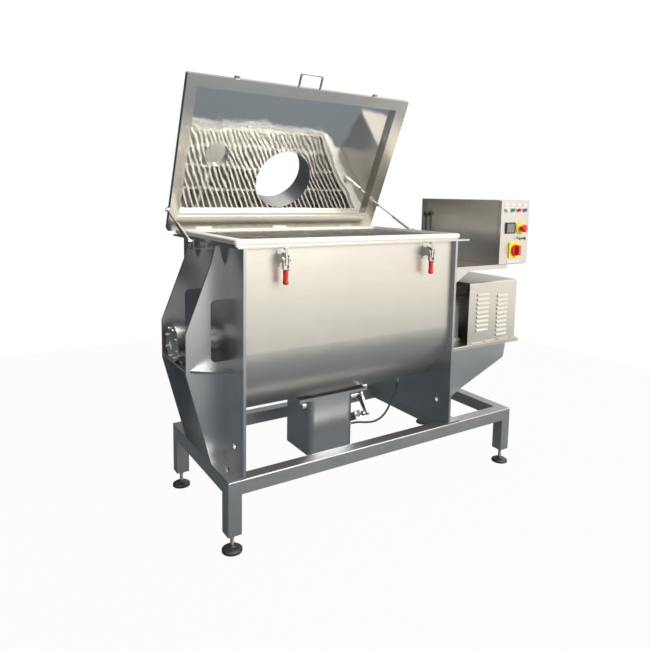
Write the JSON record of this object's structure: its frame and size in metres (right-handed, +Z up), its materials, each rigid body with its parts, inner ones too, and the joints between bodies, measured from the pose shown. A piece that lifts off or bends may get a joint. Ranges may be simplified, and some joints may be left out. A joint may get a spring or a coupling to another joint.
{
  "type": "ribbon blender",
  "caption": "Horizontal ribbon blender: U trough with double ribbon agitator, hinged lid on gas struts, bottom discharge flap and chute, geared drive and control box on a tube frame.",
  "frame": {"origin": "middle of the bounding box on the floor", "axes": "+X along the trough towards the drive, +Y from the latch side to the hinge side, +Z up"},
  "size_m": [1.915, 0.924, 2.0169],
  "materials": {
    "black_rubber": "matte",
    "blue_plastic": "gloss",
    "foot_grey": "satin",
    "green_plastic": "gloss",
    "grey_paint": "satin",
    "grip_red": "gloss",
    "machined": "machined",
    "red_plastic": "gloss",
    "seal_white": "satin",
    "stainless": "brushed",
    "stainless_polished": "mirror polished",
    "white_plastic": "gloss",
    "yellow_plastic": "gloss"
  },
  "bodies": {
    "frame": {"base_frame": "stainless", "levelling_feet": "foot_grey", "hex_bolts": "machined", "end_plate_left": "stainless", "end_plate_right": "stainless", "trough_shell": "stainless", "trough_rim": "stainless", "rim_seal": "seal_white", "safety_grid": "stainless", "left_gussets": "stainless", "bearing_shelf": "stainless", "right_gussets": "stainless", "motor_tray": "stainless", "bearing_housing": "machined", "bearing_cap": "machined", "shaft_seals": "machined", "gearbox": "grey_paint", "drive_motor": "grey_paint", "motor_cover": "stainless", "cover_screws": "machined", "box_bracket": "stainless", "control_box": "stainless", "cable_gland": "black_rubber", "control_cable": "black_rubber", "discharge_flange": "stainless", "chute": "stainless", "air_fittings": "machined", "air_hose": "black_rubber", "rim_brackets": "stainless", "latch_bases": "stainless"},
    "lid": {"lid_pan": "stainless_polished", "lid_collar": "stainless_polished", "port_collar": "stainless_polished", "lid_fittings": "stainless"},
    "port_cap": {"port_cap": "stainless_polished"},
    "strut_tube_left": {"strut_tube_left": "machined"},
    "strut_rod_left": {"strut_rod_left": "machined"},
    "strut_tube_right": {"strut_tube_right": "machined"},
    "strut_rod_right": {"strut_rod_right": "machined"},
    "agitator": {"agitator_shaft": "machined", "agitator_arms": "stainless", "outer_ribbons": "stainless", "inner_ribbons": "stainless"},
    "flap": {"discharge_flap": "stainless", "flap_lever": "stainless"},
    "air_cylinder": {"air_cylinder": "machined"},
    "air_cylinder_rod": {"air_cylinder_rod": "machined"},
    "latch_handle_left": {"latch_handle_left": "grip_red"},
    "latch_bail_left": {"latch_bail_left": "stainless"},
    "latch_handle_right": {"latch_handle_right": "grip_red"},
    "latch_bail_right": {"latch_bail_right": "stainless"},
    "control_door": {"control_door": "stainless", "panel_plates": "yellow_plastic"},
    "button_white": {"button_white": "white_plastic"},
    "button_green": {"button_green": "green_plastic"},
    "button_red": {"button_red": "red_plastic"},
    "button_blue": {"button_blue": "blue_plastic"},
    "estop": {"estop_button": "red_plastic"},
    "key_switch": {"key_switch": "machined"},
    "main_switch": {"main_switch_knob": "red_plastic"}
  },
  "joints": [
    {"name": "lid_hinge", "type": "hinge", "parent": "frame", "child": "lid", "pos_m": [-0.22249, 0.35238, 1.2603], "axis": [-1, 0, 0], "range_deg": [-65.1, 0]},
    {"name": "port_cap_lift", "type": "slide", "parent": "lid", "child": "port_cap", "axis": [0, 0.907, 0.421], "range_m": [0, 0.06]},
    {"name": "strut_swing_left", "type": "hinge", "parent": "frame", "child": "strut_tube_left", "pos_m": [-0.84649, 0.00518, 1.232], "axis": [1, 0, 0], "range_deg": [-12.62, 0]},
    {"name": "strut_stroke_left", "type": "slide", "parent": "strut_tube_left", "child": "strut_rod_left", "axis": [0, 0.927, 0.3752], "range_m": [-0.0936, 0]},
    {"name": "strut_swing_right", "type": "hinge", "parent": "frame", "child": "strut_tube_right", "pos_m": [0.40151, 0.00018, 1.258], "axis": [1, 0, 0], "range_deg": [-19.83, 0]},
    {"name": "strut_stroke_right", "type": "slide", "parent": "strut_tube_right", "child": "strut_rod_right", "axis": [0, 0.9153, 0.4027], "range_m": [-0.1207, 0]},
    {"name": "agitator_spin", "type": "hinge", "parent": "frame", "child": "agitator", "pos_m": [-0.20949, -0.05082, 0.808], "axis": [1, 0, 0], "continuous": true},
    {"name": "flap_swing", "type": "hinge", "parent": "frame", "child": "flap", "pos_m": [-0.20949, -0.11682, 0.445], "axis": [-1, 0, 0], "range_deg": [0, 75]},
    {"name": "cylinder_swing", "type": "hinge", "parent": "frame", "child": "air_cylinder", "pos_m": [-0.03349, 0.00518, 0.268], "axis": [-1, 0, 0], "range_deg": [0, 18.16]},
    {"name": "cylinder_stroke", "type": "slide", "parent": "air_cylinder", "child": "air_cylinder_rod", "axis": [0, -0.8828, 0.4697], "range_m": [0, 0.0947]},
    {"name": "latch_swing_left", "type": "hinge", "parent": "frame", "child": "latch_handle_left", "pos_m": [-0.6035, -0.41582, 1.188], "axis": [-1, 0, 0], "range_deg": [0, 110]},
    {"name": "bail_swing_left", "type": "hinge", "parent": "latch_handle_left", "child": "latch_bail_left", "pos_m": [-0.6035, -0.41582, 1.167], "axis": [-1, 0, 0], "range_deg": [-110, 0]},
    {"name": "latch_swing_right", "type": "hinge", "parent": "frame", "child": "latch_handle_right", "pos_m": [0.1665, -0.41582, 1.188], "axis": [-1, 0, 0], "range_deg": [0, 110]},
    {"name": "bail_swing_right", "type": "hinge", "parent": "latch_handle_right", "child": "latch_bail_right", "pos_m": [0.1665, -0.41582, 1.167], "axis": [-1, 0, 0], "range_deg": [-110, 0]},
    {"name": "door_swing", "type": "hinge", "parent": "frame", "child": "control_door", "pos_m": [0.81551, -0.41912, 1.268], "axis": [0, 0, 1], "range_deg": [0, 110]},
    {"name": "press_white", "type": "slide", "parent": "control_door", "child": "button_white", "axis": [0, 1, 0], "range_m": [0, 0.004], "stiffness_N_per_m": 300},
    {"name": "press_green", "type": "slide", "parent": "control_door", "child": "button_green", "axis": [0, 1, 0], "range_m": [0, 0.004], "stiffness_N_per_m": 300},
    {"name": "press_red", "type": "slide", "parent": "control_door", "child": "button_red", "axis": [0, 1, 0], "range_m": [0, 0.004], "stiffness_N_per_m": 300},
    {"name": "press_blue", "type": "slide", "parent": "control_door", "child": "button_blue", "axis": [0, 1, 0], "range_m": [0, 0.004], "stiffness_N_per_m": 300},
    {"name": "estop_press", "type": "slide", "parent": "control_door", "child": "estop", "axis": [0, 1, 0], "range_m": [0, 0.006]},
    {"name": "key_turn", "type": "hinge", "parent": "control_door", "child": "key_switch", "pos_m": [0.77951, -0.42462, 1.238], "axis": [0, 1, 0], "range_deg": [0, 90]},
    {"name": "main_switch_turn", "type": "hinge", "parent": "control_door", "child": "main_switch", "pos_m": [0.7315, -0.42462, 1.178], "axis": [0, 1, 0], "range_deg": [0, 90]}
  ],
  "couplings": [
    {"joint": "strut_swing_left", "follows": "lid_hinge", "ratio": 0.19071},
    {"joint": "strut_stroke_left", "follows": "lid_hinge", "m_per_rad": 0.081932},
    {"joint": "strut_swing_right", "follows": "lid_hinge", "ratio": 0.3016},
    {"joint": "strut_stroke_right", "follows": "lid_hinge", "m_per_rad": 0.10583},
    {"joint": "cylinder_swing", "follows": "flap_swing", "ratio": 0.23945},
    {"joint": "cylinder_stroke", "follows": "flap_swing", "m_per_rad": 0.071945},
    {"joint": "bail_swing_left", "follows": "latch_swing_left", "ratio": -1},
    {"joint": "bail_swing_right", "follows": "latch_swing_right", "ratio": -1}
  ]
}
